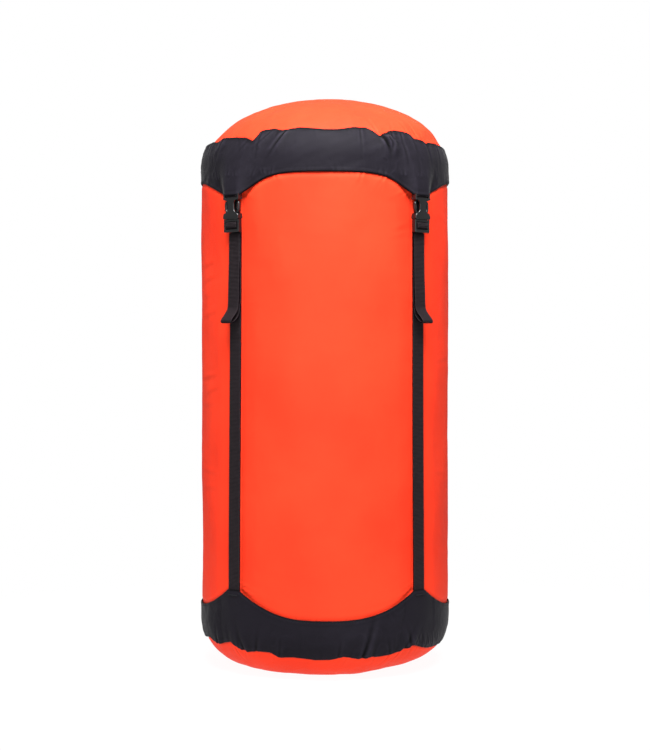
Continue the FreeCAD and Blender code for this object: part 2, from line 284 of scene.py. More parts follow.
def off_centre(phi, first, reach):
    """0 in the middle of the front, rising to 1 from first to first + reach degrees to either side."""
    return smooth((np.abs(from_front(phi)) - first) / reach)


def body_relief(phi, s):
    """Relief that every fabric layer shares: the pull of the straps, and slow swells between them."""
    away = strap_distance(phi, s)
    pulled = -1.5 * MM * (1 - ramp(away, 8, 20))
    pulled += 0.9 * MM * (1 - ramp(away, 5.5, 2.5))
    swell = 0.55 * MM * soft_noise(phi, s, 11, 100 * MM, 1.6)
    return pulled + swell * ramp(away, 6, 25) * 0.8


# ---- edges of the yokes

# (degrees round from the front, millimetres above the yoke's mean edge); the back is random
LID_EDGE = (
    (-88, -3), (-68, -2.5), (-61, -4), (-57, -1), (-48, -1.6), (-40, -3.3), (-34.8, -7.6), (-31.6, 2.2),
    (-25, 3.7), (-21, 1.4), (-12.5, 3.7), (-2, 1.3), (6, 1.5), (13, 4), (19.5, 3.9), (25.2, -4.6),
    (31, 1.2), (35, 3.2), (40, 2.9), (44.2, 1.3), (45.7, -3.1), (52.4, -4.0), (54, -7.0), (57, -5.0),
    (64, -4.3), (70, -5.0), (88, -4),
)
BASE_EDGE = (
    (-88, -1), (-67, 6), (-62, 3), (-57, 3), (-48.5, 7), (-44, 2.6), (-38, 0.5), (-31, 2), (-26, 1.4),
    (-22, -3), (-15, -2), (-5, -3.7), (2, -3.2), (8, 0), (16, -3), (20, -1), (26, -2.7), (31, -2),
    (37, 2), (43, 6), (49, 2), (57, -2), (66, -3.5), (88, -3),
)


def back_edge(seed):
    """Points of a gathered edge for the half that faces away, in the same character as the front's."""
    rng = np.random.default_rng(seed)
    degrees = np.arange(96, 265, 7.0)
    return [(d + rng.uniform(-2, 2), rng.uniform(-4.5, 4)) for d in degrees]


def gathered_edge(points, seed):
    """A function from bearing to the height of a gathered edge above its mean, in metres."""
    degrees, heights = np.array(sorted([(d % 360, h) for d, h in points] + back_edge(seed))).T
    degrees = np.concatenate([degrees - 360, degrees, degrees + 360])
    fine = np.arange(-180, 541, 0.5)
    line = np.interp(fine, degrees, np.tile(heights * MM, 3))
    kernel = np.hanning(4)
    line = np.convolve(line, kernel / kernel.sum(), mode="same")

    def edge(phi):
        return np.interp(from_front(phi) % 360, fine, line)

    return edge


lid_gather = gathered_edge(LID_EDGE, 21)
base_gather = gathered_edge(BASE_EDGE, 22)


def scallop_rise(phi, bearings, half_width, front_power, side_power, side_start):
    """0 in the middle between the front straps, rising to 1 at a strap. The other scallops start at
    side_start."""
    turns = sorted(wrapped(b) for b in bearings.values())
    rise = np.ones(np.shape(phi))
    for a, b in zip(turns, turns[1:] + [turns[0] + 2 * math.pi]):
        middle = (a + b) / 2
        off = wrapped(phi - middle)
        reach = np.abs(np.sin(off)) * (BODY_R + YOKE_LIFT) / half_width
        inside = (np.abs(off) < math.pi / 3) & (reach < 1)
        start, power = (0.0, front_power) if abs(from_front(middle)) < 20 else (side_start, side_power)
        rise = np.where(inside, start + (1 - start) * reach ** power, rise)
    return rise


def lid_yoke_low(phi):
    fall = scallop_rise(phi, BEARINGS, LID_ARCH_HALF, 4.7, 2.6, 0.06)
    return LID_YOKE_ARCH - (LID_YOKE_ARCH - LID_YOKE_TIP) * fall


def base_yoke_high(phi):
    rise = scallop_rise(phi, LOW_BEARINGS, BASE_ARCH_HALF, 3.0, 3.2, 0.07)
    return BASE_YOKE_ARCH + (BASE_YOKE_TIP - BASE_YOKE_ARCH) * rise


# ---- building meshes

def link(data, name):
    obj = bpy.data.objects.new(name, data)
    bpy.context.scene.collection.objects.link(obj)
    return obj


def smooth_link(mesh, name):
    mesh.polygons.foreach_set("use_smooth", [True] * len(mesh.polygons))
    return link(mesh, name)


def mesh_piece(name, points, faces, uvs=None, folds=0.5):
    """uvs holds a place on the cloth for each corner of each face, in metres. folds is how raised each
    point is, from 0 in a deep fold to 1, with 0.5 for even fabric; the nylon materials read it to paint
    shade into folds and highlight onto ridges."""
    mesh = bpy.data.meshes.new(name)
    mesh.from_pydata([tuple(p) for p in points], [], faces)
    if uvs is not None:
        raised = mesh.attributes.new("folds", "FLOAT", "POINT")
        raised.data.foreach_set("value", np.broadcast_to(folds, len(points)).astype(np.float32))
        corner_uvs = np.array([uv for face in uvs for uv in face], np.float32)
        mesh.uv_layers.new(name="cloth").data.foreach_set("uv", corner_uvs.ravel())
    mesh.update()
    return smooth_link(mesh, name)


def fold_shade_tone(off, step_round, step_up):
    """How a relief stored row by row stands against the fabric near it: 0 in a fold, 1 on a ridge. It sets
    the painted shade in folds and the painted highlight on ridges.
    """
    near = 2.4 * MM
    span = max(int(round(near / step_round)), 1)
    around = sum(np.roll(off, k, axis=1) for k in range(-span, span + 1)) / (2 * span + 1)
    rise = max(int(round(near / step_up)), 1)
    padded = np.pad(around, ((rise, rise), (0, 0)), "edge")
    level = sum(padded[k:k + len(off)] for k in range(2 * rise + 1)) / (2 * rise + 1)
    return np.clip(0.5 + (off - level) / FOLD_DEPTH, 0, 1)


def grid_faces(columns, rows, ring=False):
    """Faces of a grid stored row by row, and the grid place of each face's corners. The last column meets
    the first, and in a ring the last row does too."""
    faces = []
    places = []
    for row in range(rows if ring else rows - 1):
        for column in range(columns):
            place = ((column, row), (column + 1, row), (column + 1, row + 1), (column, row + 1))
            faces.append(tuple(r % rows * columns + c % columns for c, r in place))
            places.append(place)
    return faces, places


class Panel:
    """A band of fabric round the sack. low_s(phi) and high_s(phi) are the arc lengths of its edges, and
    relief(phi, s, t) is its distance from the sack's outline; t runs from 0 at the lower edge to 1. Its
    colour gets painted shade near both edges, reaching upper_shade in from the upper one."""

    def __init__(self, low_s, high_s, relief, upper_shade=EDGE_SHADE):
        self.low_s = low_s
        self.high_s = high_s
        self.relief = relief
        self.upper_shade = upper_shade

    def length(self, phi):
        return self.high_s(phi) - self.low_s(phi)

    def points(self, phi, t, lift=0.0):
        """Points on the fabric, or lift above it."""
        phi, t = np.broadcast_arrays(phi, t)
        s = self.low_s(phi) + t * self.length(phi)
        radius, height, out_r, out_z = on_outline(s)
        off = self.relief(phi, s, t) + lift
        radius = np.maximum(radius + out_r * off, 0.2 * MM)
        return round_axis(radius, phi, height + out_z * off)

    def mesh(self, name, columns, rows):
        phi = np.linspace(0, 2 * math.pi, columns, endpoint=False)[None, :]
        t = np.linspace(0, 1, rows)[:, None]
        points = self.points(phi, t).reshape(-1, 3)
        s = self.low_s(phi) + t * self.length(phi)
        faces, places = grid_faces(columns, rows)
        step_u = 2 * math.pi * BODY_R / columns
        uvs = [[(c * step_u, s[r, c % columns]) for c, r in place] for place in places]
        folds = fold_shade_tone(self.relief(phi, s, t), step_u, np.mean(self.length(phi)) / (rows - 1))
        # painted shade: the colour darkens towards each edge, over EDGE_SHADE from the lower one and
        # upper_shade from the upper one
        from_edge = np.minimum(t / EDGE_SHADE, (1 - t) / self.upper_shade) * self.length(phi)
        return mesh_piece(name, points, faces, uvs, (folds * smooth(from_edge)).ravel())


STITCH_SIDES = 6
# rings of a stitch: how far along it, size, and how far out in millimetres; its ends go into the fabric
STITCH_RINGS = ((0.0, 0.35, -0.28), (0.22, 1.0, 0.0), (0.78, 1.0, 0.0), (1.0, 0.35, -0.28))


def stitches(name, lines, length=2.3 * MM, gap=1.0 * MM, radius=0.17 * MM):
    """Rows of sewing thread stitches, one along each line of points."""
    turn = np.arange(STITCH_SIDES) * 2 * math.pi / STITCH_SIDES
    tube, _ = grid_faces(STITCH_SIDES, len(STITCH_RINGS))
    last = (len(STITCH_RINGS) - 1) * STITCH_SIDES
    tube += [tuple(reversed(range(STITCH_SIDES))), tuple(range(last, last + STITCH_SIDES))]
    points = []
    faces = []
    for line in lines:
        firsts = np.arange(max(int(lengths_along(line)[-1] / (length + gap)), 1)) * (length + gap)
        for start, end in zip(along_line(line, firsts), along_line(line, firsts + length)):
            way = (end - start) / np.linalg.norm(end - start)
            out = start * (1, 1, 0)
            out -= way * out.dot(way)
            out /= max(np.linalg.norm(out), 1e-9)
            side = np.cross(way, out)
            faces += [tuple(len(points) + k for k in face) for face in tube]
            for share, size, sink in STITCH_RINGS:
                centre = start + (end - start) * share + out * sink * MM
                for angle in turn:
                    points.append(centre + radius * size * (side * math.cos(angle) + out * math.sin(angle)))
    return paint(mesh_piece(name, points, faces), THREAD)


def edge_stitches(name, body, panel, edges):
    """A closed row of stitches just inside each of a panel's edges."""
    phi = np.linspace(0, 2 * math.pi, 1441)
    share = STITCH_INSET / panel.length(phi)
    places = {"lower": share, "upper": 1 - share}
    for edge in edges:
        row = stitches(name + "_" + edge + "_stitches", [panel.points(phi, places[edge], STITCH_LIFT)])
        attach(row, body)


def thicken(obj, thickness):
    """Gives a sheet its thickness, on the side away from its normals."""
    solid = obj.modifiers.new("thickness", "SOLIDIFY")
    solid.thickness = thickness
    solid.offset = -1.0
    solid.use_even_offset = False
    depsgraph = bpy.context.evaluated_depsgraph_get()
    mesh = bpy.data.meshes.new_from_object(obj.evaluated_get(depsgraph), depsgraph=depsgraph)
    old = obj.data
    obj.modifiers.clear()
    obj.data = mesh
    bpy.data.meshes.remove(old)
    obj.data.name = obj.name
    return obj


def paint(obj, material):
    obj.data.materials.clear()
    obj.data.materials.append(material)
    return obj


def stand_in(obj, nodes, body, material):
    """Hides the nodes a piece stands for, puts it on the body it rides on, and gives it its material.
    A piece that rides on two bodies is given no body here."""
    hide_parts(*nodes)
    if body:
        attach(obj, body)
    paint(obj, material)


# ---- materials

def set_inputs(node, **values):
    """Sets a node's inputs, with underscores for the spaces in their names."""
    for name, value in values.items():
        node.inputs[name.replace("_", " ")].default_value = value


class Nodes:
    """Short ways to wire a material's nodes."""

    def __init__(self, name):
        self.material = bpy.data.materials.new(name)
        self.material.use_nodes = True
        self.tree = self.material.node_tree
        self.shader = self.tree.nodes["Principled BSDF"]

    def add(self, kind, **settings):
        node = self.tree.nodes.new(kind)
        for key, value in settings.items():
            setattr(node, key, value)
        return node

    def join(self, source, target):
        self.tree.links.new(source, target)

    def drive(self, **sources):
        """Joins sources to the shader's inputs, with underscores for the spaces in their names."""
        for name, source in sources.items():
            self.join(source, self.shader.inputs[name.replace("_", " ")])

    def total(self, *terms):
        """The sum of terms given as (value, weight)."""
        parts = [self.math("MULTIPLY", value, weight) for value, weight in terms]
        while len(parts) > 1:
            parts[:2] = [self.math("ADD", parts[0], parts[1])]
        return parts[0]

    def output(self, shader):
        self.join(shader, self.tree.nodes["Material Output"].inputs["Surface"])

    def math(self, operation, *values):
        node = self.add("ShaderNodeMath", operation=operation)
        for socket, value in zip(node.inputs, values):
            if isinstance(value, (int, float)):
                socket.default_value = value
            else:
                self.join(value, socket)
        return node.outputs[0]

    def noise(self, scale, detail=3.0, roughness=0.5, distortion=0.0):
        place = self.add("ShaderNodeTexCoord")
        node = self.add("ShaderNodeTexNoise")
        set_inputs(node, Scale=scale, Detail=detail, Roughness=roughness, Distortion=distortion)
        self.join(place.outputs["Object"], node.inputs["Vector"])
        return node.outputs["Fac"]

    def between(self, factor, low, high, given=(0.0, 1.0)):
        """Maps a factor from the given range, low and high, onto another."""
        node = self.add("ShaderNodeMapRange")
        self.join(factor, node.inputs["Value"])
        set_inputs(node, From_Min=given[0], From_Max=given[1], To_Min=low, To_Max=high)
        return node.outputs["Result"]

    def colours(self, factor, low, high):
        node = self.add("ShaderNodeMix", data_type="RGBA")
        self.join(factor, node.inputs[0])
        node.inputs[6].default_value = (*low, 1)
        node.inputs[7].default_value = (*high, 1)
        return node.outputs[2]

    def cloth_uv(self):
        node = self.add("ShaderNodeUVMap", uv_map="cloth")
        split = self.add("ShaderNodeSeparateXYZ")
        self.join(node.outputs["UV"], split.inputs[0])
        return split.outputs[0], split.outputs[1]

    def bump(self, height, distance, strength=1.0, under=None):
        node = self.add("ShaderNodeBump")
        set_inputs(node, Strength=strength, Distance=distance)
        self.join(height, node.inputs["Height"])
        if under is not None:
            self.join(under, node.inputs["Normal"])
        return node.outputs["Normal"]

    def waves(self, place, pitch, shift=None):
        """A sine of the given pitch in metres along a coordinate."""
        turns = self.math("MULTIPLY", place, 2 * math.pi / pitch)
        if shift is not None:
            turns = self.math("ADD", turns, shift)
        return self.math("SINE", turns)


def nylon(name, dark, light, roughness, shine, crinkled, painted_fold_shade, sheen, thread=0.55 * MM):
    """Thin woven nylon with a coating: a fine plain weave and faint crinkles. Its colour is scaled by the
    folds attribute into painted shade in its folds and painted highlight on its ridges; the fold range is
    how much darker its folds and how much lighter its ridges are painted, as (darkest, lightest)."""
    n = Nodes(name)
    u, v = n.cloth_uv()
    weave = n.math("MULTIPLY", n.waves(u, thread), n.waves(v, thread))
    broad = n.between(n.noise(11.0, 2.0), -0.6, 1.6)
    crinkle = n.noise(85.0, 5.0, 0.55, 0.6)
    fine = n.noise(420.0, 3.0)
    shade = n.total((broad, 0.8), (fine, 0.2))
    folds = n.add("ShaderNodeAttribute", attribute_name="folds")
    # painted shade in the folds and painted highlight on the ridges, scaling the colour
    fold_shade_gain = n.between(folds.outputs["Fac"], *painted_fold_shade)
    shaded = n.add("ShaderNodeVectorMath", operation="SCALE")
    n.join(n.colours(shade, dark, light), shaded.inputs["Vector"])
    n.join(fold_shade_gain, shaded.inputs["Scale"])
    rough = n.between(crinkle, roughness - 0.05, roughness + 0.08)
    set_inputs(n.shader, Specular_IOR_Level=shine, Sheen_Weight=sheen, Sheen_Roughness=0.3)
    soft = n.bump(n.noise(38.0, 3.0, 0.5, 0.4), 0.9 * MM, crinkled)
    creases = n.bump(crinkle, 0.45 * MM, crinkled, soft)
    normal = n.bump(weave, 0.05 * MM, 0.35, creases)
    n.drive(Base_Color=shaded.outputs["Vector"], Roughness=rough, Normal=normal)
    return n.material


def webbing(name, dark, light):
    """Flat woven tape: cross ribs, fine threads along it and a firmer edge, with painted highlight on the
    raised threads and painted shade between them, and painted shade on its side walls, which get no shine.
    """
    n = Nodes(name)
    u, v = n.cloth_uv()
    from_middle = n.math("ABSOLUTE", n.math("SUBTRACT", u, WEB_W / 2))
    rib = n.waves(v, 1.25 * MM)
    threads = n.waves(u, 1.0 * MM)
    edge = n.math("GREATER_THAN", from_middle, WEB_W / 2 - 1.3 * MM)
    height = n.total((rib, 1.0), (threads, 0.35), (edge, 0.9))
    # painted highlight on raised ribs, threads and edge and painted shade between them, mixed with random
    # tone
    shade = n.between(height, 0.0, 1.0, given=(-1.4, 2.2))
    mixed = n.total((shade, 0.75), (n.noise(300.0), 0.25))
    # painted shade on the side walls: the colour falls to dark there and the shine to nothing
    unshaded_face = n.math("LESS_THAN", from_middle, WEB_W / 2 - 0.2 * MM)
    n.drive(Base_Color=n.colours(n.math("MULTIPLY", mixed, unshaded_face), dark, light),
            Roughness=n.between(n.noise(150.0), 0.55, 0.72),
            Specular_IOR_Level=n.math("MULTIPLY", unshaded_face, 0.08),
            Normal=n.bump(height, 0.22 * MM, 0.8))
    return n.material


def even_surface(name, dark, light, scales, roughness, dent, strength, shine):
    """An even surface with a fine texture. scales are for the noise in its colour, roughness and texture,
    roughness is (lowest, highest), and dent is the depth of the texture."""
    n = Nodes(name)
    n.drive(Base_Color=n.colours(n.noise(scales[0]), dark, light),
            Roughness=n.between(n.noise(scales[1]), *roughness),
            Normal=n.bump(n.noise(scales[2], 2.0), dent, strength))
    set_inputs(n.shader, Specular_IOR_Level=shine)
    return n.material


ORANGE = nylon("orange_nylon", (0.78, 0.0355, 0.0135), (0.90, 0.051, 0.0185), roughness=0.50, shine=0.04,
               crinkled=0.45, painted_fold_shade=(0.62, 1.38), sheen=0.0)
CHARCOAL = nylon("charcoal_nylon", (0.0075, 0.0064, 0.0096), (0.0114, 0.0098, 0.0144), roughness=0.60,
                 shine=0.07, crinkled=0.50, painted_fold_shade=(0.05, 1.95), sheen=0.05)
WEBBING = webbing("black_webbing", (0.002, 0.001, 0.002), (0.032, 0.024, 0.027))
# moulded plastic with a satin finish, and twisted sewing thread
PLASTIC = even_surface("black_acetal", (0.0035, 0.0035, 0.004), (0.006, 0.006, 0.0065), (60, 240, 1800),
                       (0.17, 0.29), 0.04 * MM, 0.5, shine=0.6)
THREAD = even_surface("black_thread", (0.006, 0.006, 0.008), (0.016, 0.015, 0.019), (900, 500, 2500),
                      (0.6, 0.8), 0.05 * MM, 0.6, shine=0.1)


# ---- fabric panels


def constant(value):
    return lambda phi: np.full(np.shape(phi), value)


def front_creases(root, rows):
    """Creases, listed one by one. Each row is the degrees round from the middle of the front, the start
    above the root, length, width and depth in millimetres, the slant and, for some, the bow per millimetre."""
    return [{
        "bearing": math.radians(degrees - 90),
        "root": root + start * MM,
        "length": length * MM,
        "width": width * MM,
        "depth": depth * MM,
        "slant": slant,
        "bow": sum(bow) / MM,
    } for degrees, start, length, width, depth, slant, *bow in rows]


def side_folds(rows):
    """Folds round the body, listed one by one. Each row is the degrees round from the middle of the front,
    the height, half length and depth in millimetres, and the tilt."""
    return [{
        "bearing": math.radians(degrees - 90),
        "root": s_of_height(height * MM),
        "half_length": half_length * MM,
        "width": SIDE_FOLD_W,
        "depth": depth * MM,
        "tilt": tilt,
    } for degrees, height, half_length, depth, tilt in rows]


def hem(edge_distance, lift=0.14 * MM):
    """The doubled fabric along an edge: raised, with a groove where it is sewn down."""
    inside = edge_distance - HEM_W
    raised = lift * (1 - ramp(inside, 0, 1.5))
    groove = 0.05 * MM * bell(inside + 1.0 * MM, 0.6)
    tucked = 0.7 * MM * (1 - ramp(edge_distance, 0, 1.3))
    return raised - groove - tucked


def finish_panel(obj, nodes, body, material):
    """Gives a panel its thickness, hides the nodes it stands for, puts it on its body and gives it its
    material.
    """
    stand_in(thicken(obj, CLOTH_T), nodes, body, material)


def yoke_cover(phi, s, seed, lift, creased_by, width):
    """The small relief of a yoke's fabric, and how the yoke lies over the body."""
    small = 0.10 * MM * soft_noise(phi, s, seed, 26 * MM) + creased_by * crumple(phi, s, seed + 1, width)
    return small, lift + np.maximum(body_relief(phi, s) + small, -0.3 * MM)


def sew_yoke(name, body, panel, edges):
    """edges are the yoke's edges, with the scalloped one first."""
    yoke = panel.mesh(name + "_fabric", *YOKE_GRID)
    finish_panel(yoke, (name,), body, CHARCOAL)
    edge_stitches(name, body, panel, edges)


def body_tube():
    """The orange body: one piece of fabric with a seam up the back, which gets shorter as the sack does."""
    low = s_of_height(BASE_RISE + 1 * MM)
    high = s_of_height(LID_Z - 0.5 * MM)
    arch_s = s_of_height(LID_YOKE_ARCH)
    foot_s = s_of_height(BASE_YOKE_ARCH)
    creases = random_creases(31, 30, arch_s, (-1, 3), (-22, -8), (0.8, 1.5), (0.10, 0.30))
    creases += random_creases(32, 26, foot_s, (-2, 2), (8, 22), (0.9, 1.7), (0.08, 0.25))
    creases += front_creases(arch_s, [
        (16, -1, -13, 1.5, 0.8, 0.35), (26.5, -3, -12, 1.5, 0.8, 0.7), (-22, -2, -11, 1.4, 0.7, -0.5),
        (38, -16, -8, 2.8, 0.8, 1.85), (-40, -17, -9, 2.4, 0.6, -1.5),
    ])
    creases += front_creases(foot_s, [
        (-42, 25, -11, 4.2, 0.6, -3.2), (-41, 30, -12, 3.4, 0.5, -2.4), (41, 23, -10, 4.0, 0.5, 3.0),
        (42, 29, -12, 3.2, 0.4, 2.2),
    ])
    round_folds = side_folds([
        (-68, 392, 28.0, 0.40, 0.08), (-66, 378, 30.8, 0.35, 0.12), (-70, 362, 25.2, 0.30, -0.05),
        (-66, 344, 30.8, 0.40, 0.15), (-68, 283, 33.6, 0.50, 0.10), (-64, 270, 28.0, 0.35, 0.20),
        (-70, 256, 25.2, 0.30, 0.05), (-69, 192, 28.0, 0.35, -0.06), (-66, 176, 28.0, 0.25, 0.05),
        (66, 436, 25.2, 0.30, -0.1), (70, 300, 28.0, 0.30, 0.08), (67, 190, 25.2, 0.25, -0.1),
        (36, 424, 22.4, 0.30, 0.25), (33, 415, 19.6, 0.20, 0.2), (-34, 352, 19.6, 0.15, -0.1),
    ])

    def relief(phi, s, t):
        height = on_outline(s)[1]
        small = 0.05 * MM * soft_noise(phi, s, 41, 30 * MM, 1.0)
        tucked = 1.9 * MM * ramp(height - LID_YOKE_ARCH, 3, 12)
        from_seam = np.abs(wrapped(phi - math.pi / 2)) * BODY_R
        seam = 0.45 * MM * (1 - ramp(from_seam, 3.5, 0.9))
        seam -= 0.3 * MM * bell(from_seam - BACK_SEAM_HALF, 0.5)
        # a groove beside each yoke's edge; its fold tone also paints shade into it
        sewn = bell(height - lid_yoke_low(phi), 2.4)
        sewn += bell(height - base_yoke_high(phi), 2.4)
        folds = creased(phi, s, creases) + 0.08 * MM * crumple(phi, s, 43, 60 * MM)
        folds += sum(cross_crease(phi, s, **one) for one in round_folds)
        return body_relief(phi, s) + small + folds + seam - tucked - 1.0 * MM * sewn

    panel = Panel(constant(low), constant(high), relief)
    tube = panel.mesh("body_tube", *TUBE_GRID)
    halves = ("tube_lower", "tube_upper")
    finish_panel(tube, halves, None, ORANGE)
    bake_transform(tube)
    for side in (-1, 1):
        up = np.linspace(0.05, 0.93, 200)
        bearing = math.pi / 2 + side * BACK_SEAM_HALF / BODY_R
        line = panel.points(bearing, up, 0.1 * MM)
        row = stitches("back_seam_stitches_" + ("left" if side > 0 else "right"), [line])
        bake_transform(row)


def lid_yoke():
    """The charcoal band round the lid. Its points swell out over the bars of the buckles."""
    top_s = s_of_height(LID_YOKE_HIGH)
    gathers = random_creases(51, 46, top_s, (-2, 2), (-34, -12), (1.2, 2.6), (0.15, 0.5))
    arch_s = s_of_height(LID_YOKE_ARCH)
    puckers = random_creases(54, 56, arch_s, (-1, 1), (6, 12), (0.8, 1.3), (0.08, 0.28))
    creases = puckers + front_creases(top_s, [
        (-34.5, 0, -26, 1.6, 0.5, 0.7), (-27, -2, -22, 1.5, 0.3, 0.85), (-19, -2, -32, 1.7, 1.0, 0.62),
        (24.6, -2, -27, 1.8, 2.9, -1.0, -0.024), (27, -3, -21, 1.4, 2.0, -1.2, -0.045),
        (16.5, 0, -42, 1.2, 0.25, 0.05), (38, -18, -28, 1.8, 0.3, -0.1), (44, 0, -34, 1.7, 0.4, -0.2),
        (53, 0, -38, 1.6, 0.6, -0.1), (63, 0, -38, 1.4, 0.5, -0.1), (-55, 0, -34, 1.6, 0.5, 0.2),
        (-66, 0, -34, 1.4, 0.45, 0.1),
    ])

    def low(phi):
        return s_of_height(lid_yoke_low(phi))

    def high(phi):
        return s_of_height(LID_YOKE_HIGH + lid_gather(phi))

    def relief(phi, s, t):
        height = on_outline(s)[1]
        away = strap_distance(phi, s)
        reach = 15 * MM + 22 * MM * ramp(height - LID_YOKE_TIP, 0, 42)
        point = smooth(1 - (away - 6.5 * MM) / reach) * ramp(LID_YOKE_TIP - height, -58, 54)
        over_bar = (BUCKLE_MID_R + 3.0 * MM - BODY_R) * point
        span = high(phi) - low(phi)
        edges = hem(t * span) + hem((1 - t) * span, 0.1 * MM)
        busy = 0.25 + 0.75 * off_centre(phi, 22, 10)
        small, cover = yoke_cover(phi, s, 52, LID_YOKE_LIFT, 0.28 * MM * busy, 36 * MM)
        sewn_down = 0.35 + 0.65 * ramp((1 - t) * span, 0, 7)
        folds = GATHER_GAIN * busy * creased(phi, s, gathers) + CREASE_GAIN * creased(phi, s, creases)
        return soft_max(cover, over_bar, 1.2 * MM) - 0.3 * MM + 0.4 * small + folds * sewn_down + edges

    panel = Panel(low, high, relief, upper_shade=5.5 * MM)
    sew_yoke("lid_yoke", "lid", panel, ("lower", "upper"))


def base_yoke():
    """The charcoal band round the base. Its points cover the lower ends of the straps."""
    low_s = s_of_height(BASE_YOKE_LOW)
    creases = random_creases(61, 44, low_s, (-2, 2), (12, 32), (1.2, 2.8), (0.15, 0.5))
    creases += front_creases(low_s, [
        (-48, 0, 30, 2.2, 0.6, -0.1), (-39.5, 0, 36, 2.6, 0.9, -0.3), (-42, 0, 20, 1.2, 0.5, -0.1),
        (38, 0, 32, 2.6, 1.2, 0.45), (40, 0, 16, 1.2, 0.6, 0.3), (6, 0, 24, 1.4, 0.5, 0.1),
        (-58, 0, 26, 1.8, 0.9, 0.05), (-33, 0, 30, 2.0, 0.6, 0.2), (17.5, 1, 50, 2.6, 1.3, 0.28),
        (43, 0, 30, 2.0, 1.0, -0.3), (50, 0, 26, 1.6, 0.5, -0.2),
    ])
    ripples = (45.5, 48.5, 51.5, 55, 59, 64)
    creases += front_creases(low_s, [(degrees, 5, 14, 1.0, 0.35, -0.6) for degrees in ripples])

    def low(phi):
        return s_of_height(BASE_YOKE_LOW + base_gather(phi))

    def high(phi):
        return s_of_height(base_yoke_high(phi))

    def relief(phi, s, t):
        height = on_outline(s)[1]
        away = strap_distance(phi, s)
        over_strap = 1.9 * MM * ramp(-away, -35, 30) * ramp(height - BASE_YOKE_ARCH, -30, 50)
        span = high(phi) - low(phi)
        edges = hem(t * span, 0.1 * MM) + hem((1 - t) * span)
        busy = 0.5 + 0.5 * off_centre(phi, 10, 12)
        _, cover = yoke_cover(phi, s, 62, YOKE_LIFT, 0.22 * MM * busy, 40 * MM)
        return cover + CREASE_GAIN * busy * creased(phi, s, creases) + over_strap + edges

    panel = Panel(low, high, relief)
    sew_yoke("base_yoke", "sack", panel, ("upper", "lower"))
    bar_tacks(panel)


def bar_tacks(panel):
    """Dense zigzags of thread through each point of the base yoke and the strap under it."""
    turns = 33
    half_width = 6.2
    below = np.where(np.arange(turns) % 2 == 0, 4.4, 6.6) * MM
    lines = []
    for corner in CORNERS:
        phi = LOW_BEARINGS[corner] + np.linspace(-half_width, half_width, turns) * MM / BODY_R
        lines.append(panel.points(phi, 1 - below / panel.length(phi), 0.3 * MM))
    tacks = stitches("bar_tack_threads", lines, length=2.1 * MM, gap=0.15 * MM, radius=0.26 * MM)
    stand_in(tacks, ("bar_tacks",), "sack", THREAD)


def lid_dome():
    low = s_of_height(LID_Z + 8 * MM)
    seam_s = s_of_height(LID_YOKE_HIGH)
    gathers = random_creases(71, 40, seam_s, (-2, 3), (10, 44), (1.0, 2.4), (0.08, 0.30))
    gathers += front_creases(seam_s, [
        (-31, 3, 14, 1.2, 0.5, 0.0), (24, 2, 26, 1.6, 0.6, -0.4), (43, 2, 34, 1.6, 0.5, -0.3),
        (49, 2, 30, 1.8, 0.6, -0.3),
    ])

    def relief(phi, s, t):
        near_top = ramp(TOP_S - s, 0, 95)
        above_yoke = ramp(s - seam_s, -3, 7)
        swell = 0.4 * MM * soft_noise(phi, s, 72, 60 * MM, 1.4)
        small = 0.08 * MM * soft_noise(phi, s, 73, 24 * MM)
        cinched = 1.6 * MM * bell(s - seam_s, 13)
        # a groove beside the yoke's upper edge; its fold tone also paints shade into it
        from_edge = on_outline(s)[1] - LID_YOKE_HIGH - lid_gather(phi)
        cinched += 0.7 * MM * bell(from_edge, 1.4)
        return (swell * above_yoke + small + creased(phi, s, gathers)) * near_top - cinched - 0.3 * MM

    dome = Panel(constant(low), constant(TOP_S), relief).mesh("lid_dome_fabric", *DOME_GRID)
    for vert in dome.data.vertices:
        vert.co.x += DOME_LEAN * ramp(vert.co.z - LID_Z, 10, 30)
    finish_panel(dome, ("lid_panel",), "lid", ORANGE)


def base_panel():
    high = s_of_height(BASE_RISE)
    seam_s = s_of_height(BASE_YOKE_LOW)
    gathers = random_creases(81, 40, seam_s, (-3, 2), (-22, -8), (1.0, 2.0), (0.08, 0.30))
    gathers += front_creases(seam_s, [
        (-46, 0, -20, 1.4, 0.6, -0.2), (32, 0, -24, 1.4, 0.6, 0.4), (37, 0, -24, 1.4, 0.5, 0.4),
    ])

    def relief(phi, s, t):
        from_middle = ramp(s, 0, 60)
        height = on_outline(s)[1]
        swell = 0.2 * MM * soft_noise(phi, s, 82, 60 * MM, 1.4)
        small = 0.06 * MM * soft_noise(phi, s, 83, 24 * MM)
        below_yoke = ramp(seam_s - s, -3, 7)
        lift = (swell * below_yoke + small + creased(phi, s, gathers)) * from_middle - 0.2 * MM
        # a groove beside the yoke's lower edge; its fold tone also paints shade into it
        lift -= 0.7 * MM * bell(height - BASE_YOKE_LOW - base_gather(phi), 1.4)
        on_floor = (1 - ramp(height, 0, 6))
        return lift * (1 - on_floor) + np.minimum(lift, -0.1 * MM) * on_floor

    panel = Panel(constant(0.5 * MM), constant(high), relief).mesh("base_fabric", *BASE_GRID)
    for vert in panel.data.vertices:
        lifted = ramp(vert.co.x, 25, 45) * (1 - ramp(vert.co.z, 0, 26))
        vert.co.z += BASE_LIFT * lifted
    finish_panel(panel, ("base_panel",), "sack", ORANGE)


# ---- the gathered mouth, under the lid

NECK_R = 15 * MM
COLLAR_FOOT = LID_Z - 2 * MM
COLLAR_RISE = 27 * MM
HEM_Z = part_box("mouth_hem")[0].z + 3.4 * MM
HEM_R = NECK_R + 3.4 * MM


def pleats(phi, count, seed):
    """Soft gathers of uneven width, from -1 to 1."""
    rng = np.random.default_rng(seed)
    drift = sum(rng.normal(0, 0.5) * np.cos(k * phi + rng.uniform(0, 6)) for k in range(2, 7))
    return np.sin(count * phi + 1.6 * drift)


